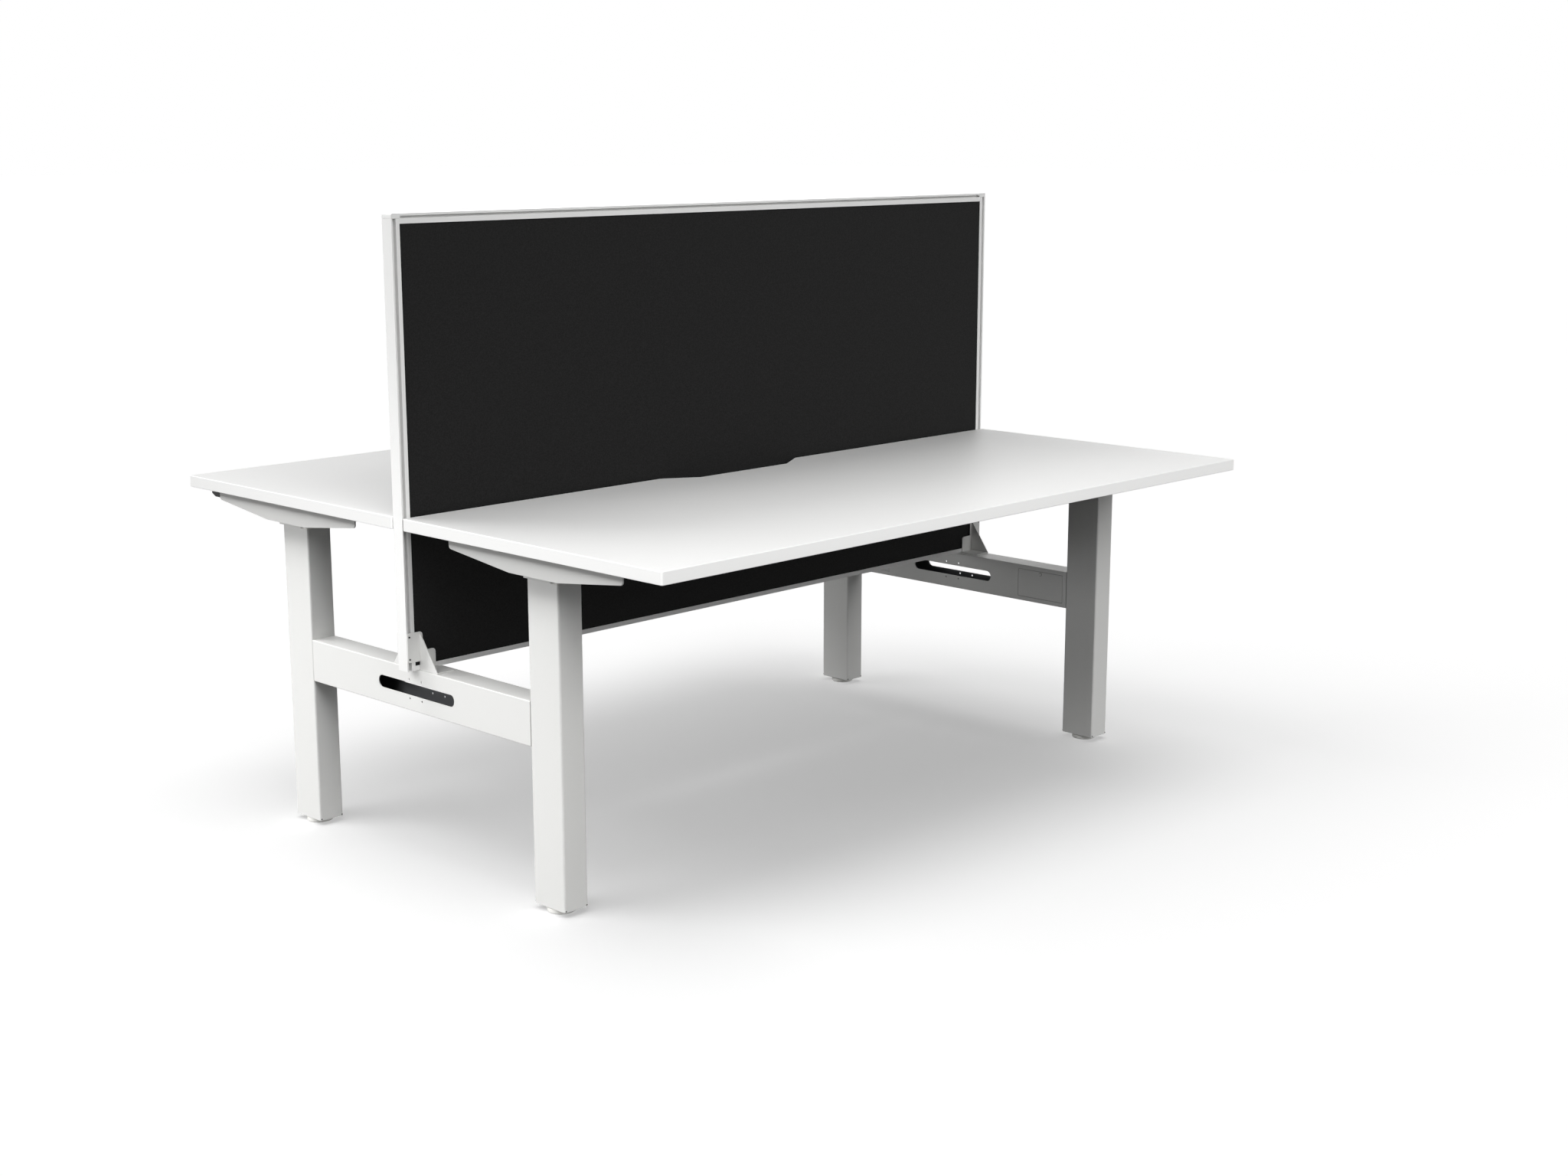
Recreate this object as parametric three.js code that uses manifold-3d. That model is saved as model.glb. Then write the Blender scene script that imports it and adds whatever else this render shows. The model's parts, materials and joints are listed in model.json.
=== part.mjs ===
// Benching desk for two: a pair of electric sit-stand desks, back to back on two H-shaped
// end frames, with one fabric screen that stands on the beams between them.
//
// Millimetres, +Z up. The origin is on the floor under the middle of the desk. +X runs along
// the desktops, the near user sits on the -Y side and the far user on the +Y side.
// The far half is the near half turned by 180 degrees about Z. Both desks are at their lowest.

import * as THREE from 'three';
import { mergeVertices } from 'three/addons/utils/BufferGeometryUtils.js';
import Module from 'manifold-3d';

const wasm = await Module();
wasm.setup();

// Clearances
const SEAT_GAP = 0.2; // between faces that rest on or butt against each other
const FIT_GAP = 0.3; // around a piece that slides or turns in another
const CUT_MARGIN = 5; // how far a cutting shape runs past the face that it opens

// Desktops
const TOP_LENGTH = 1800;
const TOP_DEPTH = 746;
const TOP_THICKNESS = 25;
const TOP_HEIGHT = 723; // work surface above the floor, at the lowest position
const TOP_CORNER_RADIUS = 3;
const TOP_EDGE_ROUND = 1;
const TOP_TO_SCREEN = 2.5; // running gap between a desktop's back edge and the screen

// Cable recess in the back edge of a desktop
const RECESS_MOUTH = 424;
const RECESS_FLOOR = 270;
const RECESS_DEPTH = 47;
const RECESS_ROUND = 20;

// Legs: a fixed outer tube and a rising inner tube
const LEG_WIDTH = 58; // along X
const LEG_DEPTH = 90; // along Y
const LEG_WALL = 2;
const LEG_ROUND = 4;
const LEG_END_INSET = 30; // from the desktop's end to the leg's outer face
const LEG_FRONT_INSET = 359.5; // from the desktop's front edge to the leg's axis
const LEG_FLOOR_GAP = 11;
const LEG_SLIDE_GAP = 2; // between the outer and the inner tube
const BASE_PLATE = 6;
const INNER_LEG_LIFT = 23; // from the base plate to the inner tube's lower end
const HEAD_PLATE_WIDTH = 84;
const HEAD_PLATE_DEPTH = 82;
const HEAD_PLATE = 6;
const HEAD_STEP = 1.8; // how far the plate's middle stands up from its rim
const HEAD_RIM = 8; // width of that rim
const HEAD_GAP = 1.5; // air between the head plate and the guide collar at the lowest position
const COLLAR_FLANGE = 2.5;
const COLLAR_SLEEVE = 40;

// Levelling feet
const FOOT_RADIUS = 28;
const FOOT_SOLE_RADIUS = 26.5;
const FOOT_HEIGHT = 9.7;
const FOOT_EDGE = 1.5;
const STUD_RADIUS = 5;
const STUD_LENGTH = 28;

// Lift drive
const SCREW_RADIUS = 7;
const SCREW_LIFT = 43; // from the base plate to the screw's lower end
const JOURNAL_RADIUS = 6; // the part of the screw inside the gearbox
const NUT_SHOULDER = 3; // how far the nut stands out from its tube
const NUT_HEIGHT = 40;
const NUT_TO_HEAD = 54; // from the nut's top to the head plate, at the lowest position
const NUT_TUBE_WALL = 3.5;
const NUT_TUBE_GAP = 1.5; // between the screw and the nut's tube
const SCREW_HOLE_GAP = 2; // around the screw where it passes the head plate and the arm
const GEARBOX_WIDTH = 60;
const GEARBOX_DEPTH = 64;
const GEARBOX_ROOF = 8; // material above the journal
const DRIVE_TO_TOP = 2.5; // from the gearbox and the motor to the desktop above them
const MOTOR_LENGTH = 70;
const MOTOR_TO_ARM = 6; // how far the motor can stays above the arm's lower edge

// Support arms under the desktops
const ARM_FRONT_INSET = 109.5; // from the desktop's front edge to the arm's front end
const ARM_BACK_INSET = 136.5; // from the desktop's back edge to the arm's back end
const ARM_WIDTH = 104;
const ARM_DEPTH = 38.5;
const ARM_END_DEPTH = 16.5;
const ARM_FLAT = 138;
const ARM_WALL = 3;
const ARM_LIP = 14; // width of the lips under the desktop
const ARM_END_ROUND = 7;

// Crossbar between the two arms of a desk
const CROSSBAR_WIDTH = 60;
const CROSSBAR_DEPTH = 30;
const CROSSBAR_WALL = 2;

// Control box under a desktop
const CONTROL_LENGTH = 230;
const CONTROL_WIDTH = 84;
const CONTROL_HEIGHT = 36;
const CONTROL_ROUND = 6;
const CONTROL_TO_CROSSBAR = 20;
const CONTROL_EAR = 14;
const CONTROL_EAR_WIDTH = 30;
const CONTROL_EAR_THICKNESS = 3;
const INLET_WIDTH = 28;
const INLET_HEIGHT = 20;
const INLET_DEPTH = 16;
const MOTOR_SOCKET = 11;
const MOTOR_SOCKET_PITCH = 18;
const MOTOR_SOCKET_DEPTH = 9;

// Handset under the desktop's front edge, to the user's right
const HANDSET_WIDTH = 84;
const HANDSET_DEPTH = 34;
const HANDSET_HEIGHT = 16.5;
const HANDSET_LIP = 10;
const HANDSET_HEEL = 21;
const HANDSET_ROUND = 1.5;
const HANDSET_END_INSET = 20; // from the desktop's end
const HANDSET_FRONT_INSET = 56.5; // from the desktop's front edge
const BUTTON_LENGTH = 26;
const BUTTON_WIDTH = 9;
const BUTTON_ROUND = 3;
const BUTTON_PITCH = 36;
const BUTTON_PROUD = 1.2;
const BUTTON_SUNK = 1.8;
const BUTTON_TRAVEL = 1.2;
const BUTTON_GAP = 0.4;

// End beams
const BEAM_TOP = 412;
const BEAM_HEIGHT = 90;
const BEAM_WALL = 2;
const BEAM_ROUND = 2;
const SLOT_LENGTH = 250;
const SLOT_HEIGHT = 26;
const HOLE_PITCH = 40;
const HOLE_RADIUS = 2.3;
const COVER_LENGTH = 135;
const COVER_TO_LEG = 11;
const COVER_TO_EDGE = 11; // from the cover to the beam's upper and lower edges
const COVER_ROUND = 2;
const COVER_GAP = 0.8;
const LOCK_RADIUS = 4;
const LOCK_PROUD = 0.8;
const LOCK_TO_EDGE = 6;

// Screen
const SCREEN_END_INSET = 1.5; // from the desktop's end to the screen's end
const SCREEN_HEIGHT = 900;
const SCREEN_THICKNESS = 30;
const POST_LIP = 3.3;
const POST_GROOVE = 7.3;
const POST_STRIP = 8.9;
const RAIL_LIP = 5;
const RAIL_GROOVE = 4.6;
const RAIL_STRIP = 10.4;
const GROOVE_DEPTH = 9;
const CORNER_HEIGHT = 10;
const SILL_HEIGHT = 10;
const FRAME_LIP = 1.7; // walls that hold the panel's edge
const PANEL_TONGUE = 6; // how far the panel's edge goes into the frame

// Screen brackets: a back plate with a tall and a short tab, a gusset and a base, in steel sheet
const BRACKET_SHEET = 2.2;
const GUSSET_INSET = 1.5; // from the beam's outer face to the gusset
const GUSSET_HIGH = 77; // above the beam
const GUSSET_REACH = 56; // out from the screen's face, as far as the base
const BASE_WIDTH = 42.5;
const TALL_TAB_INSET = 0.5; // from the screen's end to the tall tab
const TALL_TAB_LOW = 18.5; // above the beam
const TALL_TAB_HIGH = 79;
const TALL_TAB_PAST = 7.5; // how far the tall tab runs on past the gusset
const SHORT_TAB_HIGH = 40;
const SHORT_TAB_REACH = 38; // from the gusset's outer face
const TAB_ROUND = 7;
const TAB_FOOT_ROUND = 4;

// Straight steps in round shapes
const CORNER_STEPS = 4; // in a rounded corner that shows
const HIDDEN_CORNER_STEPS = 2;
const CIRCLE_STEPS = 12; // in a round hole, and in each half-round end of a slot
const ROD_SIDES = 16;
const FOOT_SIDES = 24;

// Places worked out from the sizes above
const underside = TOP_HEIGHT - TOP_THICKNESS;
const screenFace = SCREEN_THICKNESS / 2;
const backEdge = screenFace + TOP_TO_SCREEN;
const frontEdge = backEdge + TOP_DEPTH;
const legX = TOP_LENGTH / 2 - LEG_END_INSET - LEG_WIDTH / 2;
const legY = frontEdge - LEG_FRONT_INSET;
const armTop = underside - SEAT_GAP;
const armBottom = armTop - ARM_DEPTH;
const armFront = legY - frontEdge + ARM_FRONT_INSET; // from the leg's axis, as is armBack
const armBack = legY - backEdge - ARM_BACK_INSET;
const headTop = armBottom - SEAT_GAP;
const headBottom = headTop - HEAD_PLATE;
const collarTop = headBottom - HEAD_GAP;
const legTop = collarTop - COLLAR_FLANGE - SEAT_GAP;
const baseTop = LEG_FLOOR_GAP + BASE_PLATE;
const innerLegWidth = LEG_WIDTH - 2 * (LEG_WALL + LEG_SLIDE_GAP);
const innerLegDepth = LEG_DEPTH - 2 * (LEG_WALL + LEG_SLIDE_GAP);
const innerLegRound = Math.max(LEG_ROUND - LEG_WALL, 1);
const gearboxBottom = armBottom + ARM_WALL + SEAT_GAP;
const gearboxTop = underside - DRIVE_TO_TOP;
const journalTop = gearboxTop - GEARBOX_ROOF;
const crossbarEnd = legX - ARM_WIDTH / 2 - SEAT_GAP;
const beamHalf = legY - LEG_DEPTH / 2 - SEAT_GAP;
const beamMiddle = BEAM_TOP - BEAM_HEIGHT / 2;
const beamFace = LEG_WIDTH / 2; // from the beam's axis to its faces
const coverHeight = BEAM_HEIGHT - 2 * COVER_TO_EDGE;
const coverY = beamHalf - COVER_TO_LEG - COVER_LENGTH / 2;
const screenEnd = TOP_LENGTH / 2 - SCREEN_END_INSET;
const screenBottom = BEAM_TOP + SEAT_GAP;
const screenTop = screenBottom + SCREEN_HEIGHT;
const postWidth = POST_LIP + POST_GROOVE + POST_STRIP;
const postInside = screenEnd - postWidth;
const railHeight = RAIL_LIP + RAIL_GROOVE + RAIL_STRIP;

// Finishes
const finish = (color, roughness, metalness = 0) =>
  new THREE.MeshStandardMaterial({ color, roughness, metalness });
const whiteSteel = () => finish(0xf0f0ee, 0.45, 0.1);
const whiteBoard = () => finish(0xf2f2f1, 0.5);
const whiteFrame = () => finish(0xefefee, 0.4, 0.1);
const whitePlastic = () => finish(0xf4f4f2, 0.5);
const greyPlastic = () => finish(0xc9c9c7, 0.55);
const blackPlastic = () => finish(0x232426, 0.5);
const blackFabric = () => finish(0x1b1b1b, 0.95);
const barSteel = () => finish(0xb8b9ba, 0.3, 0.9);
const zincSteel = () => finish(0x9c9fa3, 0.45, 0.7);

// A closed mesh becomes a solid that can be joined and cut.
function toSolid(geometry) {
  const bare = geometry.clone();
  bare.deleteAttribute('normal');
  bare.deleteAttribute('uv');
  const merged = mergeVertices(bare);
  const vertProperties = new Float32Array(merged.attributes.position.array);
  const triVerts = new Uint32Array(merged.index.array);
  return new wasm.Manifold(new wasm.Mesh({ numProp: 3, vertProperties, triVerts }));
}

function toGeometry(solid) {
  const mesh = solid.getMesh();
  const geometry = new THREE.BufferGeometry();
  geometry.setAttribute('position', new THREE.BufferAttribute(mesh.vertProperties, 3));
  geometry.setIndex(new THREE.BufferAttribute(mesh.triVerts, 1));
  geometry.computeVertexNormals();
  return geometry;
}

function join(...pieces) {
  return toGeometry(pieces.map(toSolid).reduce((whole, piece) => whole.add(piece)));
}

function cut(body, ...tools) {
  return toGeometry(tools.map(toSolid).reduce((rest, tool) => rest.subtract(tool), toSolid(body)));
}

function common(first, second) {
  return toGeometry(toSolid(first).intersect(toSolid(second)));
}

// An outline through corners [x, y, radius]. A corner with a radius is an arc that touches
// both of its sides, and one without is sharp.
function outline(corners) {
  const shape = new THREE.Shape();
  const at = (index) => new THREE.Vector2(...corners[(index + corners.length) % corners.length]);
  corners.forEach(([x, y, radius = 0], index) => {
    if (radius <= 0) {
      if (index === 0) {
        shape.moveTo(x, y);
      } else {
        shape.lineTo(x, y);
      }
      return;
    }
    const corner = at(index);
    const back = at(index - 1).sub(corner).normalize();
    const ahead = at(index + 1).sub(corner).normalize();
    const halfAngle = Math.acos(back.dot(ahead)) / 2;
    const reach = radius / Math.tan(halfAngle);
    const centre = back.clone().add(ahead).setLength(radius / Math.sin(halfAngle)).add(corner);
    const turnsRight = back.cross(ahead) > 0;
    const start = back.multiplyScalar(reach).add(corner).sub(centre).angle();
    const end = ahead.multiplyScalar(reach).add(corner).sub(centre).angle();
    if (index > 0) {
      shape.lineTo(centre.x + radius * Math.cos(start), centre.y + radius * Math.sin(start));
    }
    shape.absarc(centre.x, centre.y, radius, start, end, turnsRight);
  });
  shape.closePath();
  return shape;
}

function rectangle(width, height, radius = 0) {
  const x = width / 2;
  const y = height / 2;
  return outline([
    [-x, -y, radius],
    [x, -y, radius],
    [x, y, radius],
    [-x, y, radius],
  ]);
}

// The outline of a slot with half-round ends.
function obround(length, height) {
  const radius = height / 2;
  const reach = length / 2 - radius;
  const shape = new THREE.Shape();
  shape.absarc(reach, 0, radius, -Math.PI / 2, Math.PI / 2, false);
  shape.absarc(-reach, 0, radius, Math.PI / 2, (3 * Math.PI) / 2, false);
  shape.closePath();
  return shape;
}

function circle(radius) {
  return new THREE.Shape().absarc(0, 0, radius, 0, 2 * Math.PI, false);
}

// Each arc of the outline gets that many straight steps: an arc has two for each curve segment.
function extrude(shape, depth, steps) {
  return new THREE.ExtrudeGeometry(shape, { depth, bevelEnabled: false, curveSegments: steps / 2 });
}

// An outline in X and Y, drawn up from z0 to z1.
function alongZ(shape, z0, z1, steps = HIDDEN_CORNER_STEPS) {
  return extrude(shape, z1 - z0, steps).translate(0, 0, z0);
}

// An outline in Y and Z, drawn from x0 to x1.
function alongX(shape, x0, x1, steps = CORNER_STEPS) {
  return extrude(shape, x1 - x0, steps).rotateX(Math.PI / 2).rotateZ(Math.PI / 2).translate(x0, 0, 0);
}

// An outline in X and Z, drawn from y0 to y1.
function alongY(shape, y0, y1) {
  return extrude(shape, y1 - y0, CORNER_STEPS).rotateX(Math.PI / 2).translate(0, y1, 0);
}

// An upright tube between two outlines.
function tubeAlongZ(outer, inner, z0, z1, steps) {
  return cut(alongZ(outer, z0, z1, steps), alongZ(inner, z0 - CUT_MARGIN, z1 + CUT_MARGIN));
}

function box(x0, x1, y0, y1, z0, z1) {
  const geometry = new THREE.BoxGeometry(Math.abs(x1 - x0), Math.abs(y1 - y0), Math.abs(z1 - z0));
  return geometry.translate((x0 + x1) / 2, (y0 + y1) / 2, (z0 + z1) / 2);
}

function rod(radius, z0, z1) {
  const cylinder = new THREE.CylinderGeometry(radius, radius, z1 - z0, ROD_SIDES);
  return cylinder.rotateX(Math.PI / 2).translate(0, 0, (z0 + z1) / 2);
}

// A turned piece about Z, from a profile of [radius, height] points.
function turned(profile, sides = ROD_SIDES) {
  const points = profile.map(([radius, height]) => new THREE.Vector2(radius, height));
  return new THREE.LatheGeometry(points, sides).rotateX(Math.PI / 2);
}

// Desktop of the near half, with its cable recess at the back and softly rounded edges
function makeDesktop() {
  const x = TOP_LENGTH / 2;
  const inset = TOP_EDGE_ROUND;
  const recessY = -backEdge - RECESS_DEPTH;
  const shape = outline([
    [-x + inset, -frontEdge + inset, TOP_CORNER_RADIUS],
    [x - inset, -frontEdge + inset, TOP_CORNER_RADIUS],
    [x - inset, -backEdge - inset, TOP_CORNER_RADIUS],
    [RECESS_MOUTH / 2, -backEdge - inset, RECESS_ROUND],
    [RECESS_FLOOR / 2, recessY - inset, RECESS_ROUND],
    [-RECESS_FLOOR / 2, recessY - inset, RECESS_ROUND],
    [-RECESS_MOUTH / 2, -backEdge - inset, RECESS_ROUND],
    [-x + inset, -backEdge - inset, TOP_CORNER_RADIUS],
  ]);
  const geometry = new THREE.ExtrudeGeometry(shape, {
    depth: TOP_THICKNESS - 2 * TOP_EDGE_ROUND,
    bevelThickness: TOP_EDGE_ROUND,
    bevelSize: TOP_EDGE_ROUND,
    bevelSegments: 1,
    curveSegments: CORNER_STEPS / 2,
  });
  return geometry.translate(0, 0, underside + TOP_EDGE_ROUND);
}

// Outer leg: rectangular tube with a base plate that takes the foot's stud
function makeOuterLeg() {
  const outside = rectangle(LEG_WIDTH, LEG_DEPTH, LEG_ROUND);
  const inside = rectangle(LEG_WIDTH - 2 * LEG_WALL, LEG_DEPTH - 2 * LEG_WALL, innerLegRound);
  const wall = tubeAlongZ(outside, inside, LEG_FLOOR_GAP, legTop, CORNER_STEPS);
  const plate = alongZ(outside, LEG_FLOOR_GAP, baseTop, CORNER_STEPS);
  const studHole = rod(STUD_RADIUS + FIT_GAP, LEG_FLOOR_GAP - CUT_MARGIN, baseTop + CUT_MARGIN);
  return cut(join(wall, plate), studHole);
}

// Guide collar: a flange on the outer tube's mouth, and a sleeve between the two tubes
function makeCollar() {
  const bore = rectangle(innerLegWidth + 2 * FIT_GAP, innerLegDepth + 2 * FIT_GAP, innerLegRound);
  const sleeveGap = 2 * (LEG_WALL + FIT_GAP);
  const sleeve = rectangle(LEG_WIDTH - sleeveGap, LEG_DEPTH - sleeveGap, innerLegRound);
  const flangeBottom = legTop + SEAT_GAP;
  const sleeveBottom = legTop - COLLAR_SLEEVE;
  const rim = rectangle(LEG_WIDTH, LEG_DEPTH, LEG_ROUND);
  const flange = alongZ(rim, flangeBottom, collarTop, CORNER_STEPS);
  const lining = alongZ(sleeve, sleeveBottom, collarTop);
  return cut(join(flange, lining), alongZ(bore, sleeveBottom - CUT_MARGIN, collarTop + CUT_MARGIN));
}

// Inner leg: the rising tube, with the head plate that the arm sits on
function makeInnerLeg() {
  const outside = rectangle(innerLegWidth, innerLegDepth, innerLegRound);
  const inside = rectangle(innerLegWidth - 2 * LEG_WALL, innerLegDepth - 2 * LEG_WALL);
  const wall = tubeAlongZ(outside, inside, baseTop + INNER_LEG_LIFT, headBottom + HEAD_PLATE / 2);
  const plate = alongZ(
    rectangle(HEAD_PLATE_WIDTH, HEAD_PLATE_DEPTH, LEG_ROUND),
    headBottom,
    headTop - HEAD_STEP,
  );
  const step = alongZ(
    rectangle(HEAD_PLATE_WIDTH - 2 * HEAD_RIM, HEAD_PLATE_DEPTH - 2 * HEAD_RIM, LEG_ROUND),
    headBottom,
    headTop,
  );
  const screwHole = rod(SCREW_RADIUS + SCREW_HOLE_GAP, headBottom - CUT_MARGIN, headTop + CUT_MARGIN);
  return cut(join(wall, plate, step), screwHole);
}

// Levelling foot: a round pad with the stud that screws into the leg
function makeFoot() {
  const profile = [
    [0, 0],
    [FOOT_SOLE_RADIUS, 0],
    [FOOT_RADIUS, FOOT_EDGE],
    [FOOT_RADIUS, FOOT_HEIGHT - FOOT_EDGE],
    [FOOT_RADIUS - FOOT_EDGE, FOOT_HEIGHT],
    [STUD_RADIUS, FOOT_HEIGHT],
    [STUD_RADIUS, FOOT_HEIGHT + STUD_LENGTH],
    [0, FOOT_HEIGHT + STUD_LENGTH],
  ];
  return turned(profile, FOOT_SIDES);
}

// Nut post: the tube on the base plate, with the lift nut at its top
function makeNutPost() {
  const nutTop = headBottom - NUT_TO_HEAD;
  const nutBottom = nutTop - NUT_HEIGHT;
  const nutBore = SCREW_RADIUS + FIT_GAP;
  const tubeBore = SCREW_RADIUS + NUT_TUBE_GAP;
  const tubeRadius = tubeBore + NUT_TUBE_WALL;
  const nutRadius = tubeRadius + NUT_SHOULDER;
  const foot = baseTop + SEAT_GAP;
  const profile = [
    [tubeBore, foot],
    [tubeRadius, foot],
    [tubeRadius, nutBottom],
    [nutRadius, nutBottom],
    [nutRadius, nutTop],
    [nutBore, nutTop],
    [nutBore, nutBottom],
    [tubeBore, nutBottom],
    [tubeBore, foot],
  ];
  return turned(profile);
}

// Lead screw, with the journal that the gearbox turns
function makeLeadScrew() {
  const bottom = baseTop + SCREW_LIFT;
  const shoulder = gearboxBottom - SEAT_GAP;
  const profile = [
    [0, bottom],
    [SCREW_RADIUS, bottom],
    [SCREW_RADIUS, shoulder],
    [JOURNAL_RADIUS, shoulder],
    [JOURNAL_RADIUS, journalTop],
    [0, journalTop],
  ];
  return turned(profile);
}

// Motor and gearbox, lying in the arm with the motor can towards the screen. The can is as thick
// as the arm hides at the can's end, where the arm's lower edge has risen.
function makeMotor() {
  const gearbox = alongZ(rectangle(GEARBOX_WIDTH, GEARBOX_DEPTH, LEG_ROUND), gearboxBottom, gearboxTop);
  const canEnd = GEARBOX_DEPTH / 2 + MOTOR_LENGTH;
  const edgeSlope = (ARM_DEPTH - ARM_END_DEPTH) / (armBack - ARM_FLAT / 2);
  const edgeRise = Math.max(canEnd - ARM_FLAT / 2, 0) * edgeSlope;
  const canBottom = armBottom + edgeRise + MOTOR_TO_ARM;
  const canRadius = (gearboxTop - canBottom) / 2;
  const can = rod(canRadius, GEARBOX_DEPTH / 2 - CUT_MARGIN, canEnd)
    .rotateX(-Math.PI / 2)
    .translate(0, 0, gearboxTop - canRadius);
  const bore = rod(JOURNAL_RADIUS + FIT_GAP, gearboxBottom - CUT_MARGIN, journalTop + FIT_GAP);
  return cut(join(gearbox, can), bore);
}

// Support arm: two tapered side plates with lips that are screwed to the desktop, and a floor
// between them that is bolted to the head plate. It is open at both ends.
function makeArm() {
  const half = ARM_WIDTH / 2;
  const flat = ARM_FLAT / 2;
  const endBottom = armTop - ARM_END_DEPTH;
  const plate = outline([
    [armFront, armTop],
    [armFront, endBottom, ARM_END_ROUND],
    [-flat, armBottom],
    [flat, armBottom],
    [armBack, endBottom, ARM_END_ROUND],
    [armBack, armTop],
  ]);
  const floor = box(-half, half, -flat, flat, armBottom, armBottom + ARM_WALL);
  const sides = [-1, 1].flatMap((side) => {
    const outer = side * half;
    const inner = outer - side * ARM_WALL;
    const lipEdge = outer - side * ARM_LIP;
    return [
      alongX(plate, Math.min(outer, inner), Math.max(outer, inner)),
      box(lipEdge, outer, armFront, armBack, armTop - ARM_WALL, armTop),
    ];
  });
  const screwHole = rod(SCREW_RADIUS + SCREW_HOLE_GAP, armBottom - CUT_MARGIN, armTop);
  return cut(join(floor, ...sides), screwHole);
}

// Crossbar: a channel, open against the desktop, between the two arms
function makeCrossbar() {
  const half = CROSSBAR_WIDTH / 2;
  const innerHalf = half - CROSSBAR_WALL;
  const bottom = armTop - CROSSBAR_DEPTH;
  const shape = outline([
    [-half, armTop],
    [-half, bottom],
    [half, bottom],
    [half, armTop],
    [innerHalf, armTop],
    [innerHalf, bottom + CROSSBAR_WALL],
    [-innerHalf, bottom + CROSSBAR_WALL],
    [-innerHalf, armTop],
  ]);
  return alongX(shape, -crossbarEnd, crossbarEnd);
}

// Control box with its two fixing ears, mains inlet and motor sockets
function makeControlBox() {
  const end = CONTROL_LENGTH / 2;
  const bottom = armTop - CONTROL_HEIGHT;
  const middle = armTop - CONTROL_HEIGHT / 2;
  const body = alongZ(rectangle(CONTROL_LENGTH, CONTROL_WIDTH, CONTROL_ROUND), bottom, armTop);
  const ears = alongZ(
    rectangle(CONTROL_LENGTH + 2 * CONTROL_EAR, CONTROL_EAR_WIDTH, CONTROL_ROUND),
    armTop - CONTROL_EAR_THICKNESS,
    armTop,
  );
  const opening = (y, width, height, depth) => {
    const low = middle - height / 2;
    return box(end - depth, end + CUT_MARGIN, y - width / 2, y + width / 2, low, low + height);
  };
  const inletY = CONTROL_WIDTH / 2 - CONTROL_ROUND - INLET_WIDTH / 2;
  const firstSocket = CONTROL_ROUND + MOTOR_SOCKET / 2 - CONTROL_WIDTH / 2;
  return cut(
    join(body, ears),
    opening(inletY, INLET_WIDTH, INLET_HEIGHT, INLET_DEPTH),
    opening(firstSocket, MOTOR_SOCKET, MOTOR_SOCKET, MOTOR_SOCKET_DEPTH),
    opening(firstSocket + MOTOR_SOCKET_PITCH, MOTOR_SOCKET, MOTOR_SOCKET, MOTOR_SOCKET_DEPTH),
  );
}

// Handset: a wedge whose sloping face turns down towards the user
const handsetX = TOP_LENGTH / 2 - HANDSET_END_INSET - HANDSET_WIDTH / 2;
const handsetFront = -frontEdge + HANDSET_FRONT_INSET;
const handsetTop = armTop;
const faceTop = new THREE.Vector2(handsetFront, handsetTop - HANDSET_LIP);
const faceFoot = new THREE.Vector2(handsetFront + HANDSET_DEPTH - HANDSET_HEEL, handsetTop - HANDSET_HEIGHT);
const faceMiddle = faceTop.clone().add(faceFoot).divideScalar(2);
const faceSlope = Math.atan2(faceTop.y - faceFoot.y, faceFoot.x - faceTop.x);
const faceTurn = Math.PI - faceSlope; // turns +Z to the face's outward normal

function makeButton(grow, low, high) {
  const shape = rectangle(BUTTON_LENGTH + 2 * grow, BUTTON_WIDTH + 2 * grow, BUTTON_ROUND + grow);
  return alongZ(shape, low, high);
}

function makeHandset() {
  const back = handsetFront + HANDSET_DEPTH;
  const shape = outline([
    [handsetFront, handsetTop],
    [faceTop.x, faceTop.y, HANDSET_ROUND],
    [faceFoot.x, faceFoot.y, HANDSET_ROUND],
    [back, faceFoot.y, HANDSET_ROUND],
    [back, handsetTop],
  ]);
  const body = alongX(shape, handsetX - HANDSET_WIDTH / 2, handsetX + HANDSET_WIDTH / 2);
  const floor = -BUTTON_SUNK - BUTTON_TRAVEL - FIT_GAP;
  const pocket = (side) => makeButton(BUTTON_GAP, floor, CUT_MARGIN)
    .rotateX(faceTurn)
    .translate(handsetX + (side * BUTTON_PITCH) / 2, faceMiddle.x, faceMiddle.y);
  return cut(body, pocket(-1), pocket(1));
}

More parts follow.
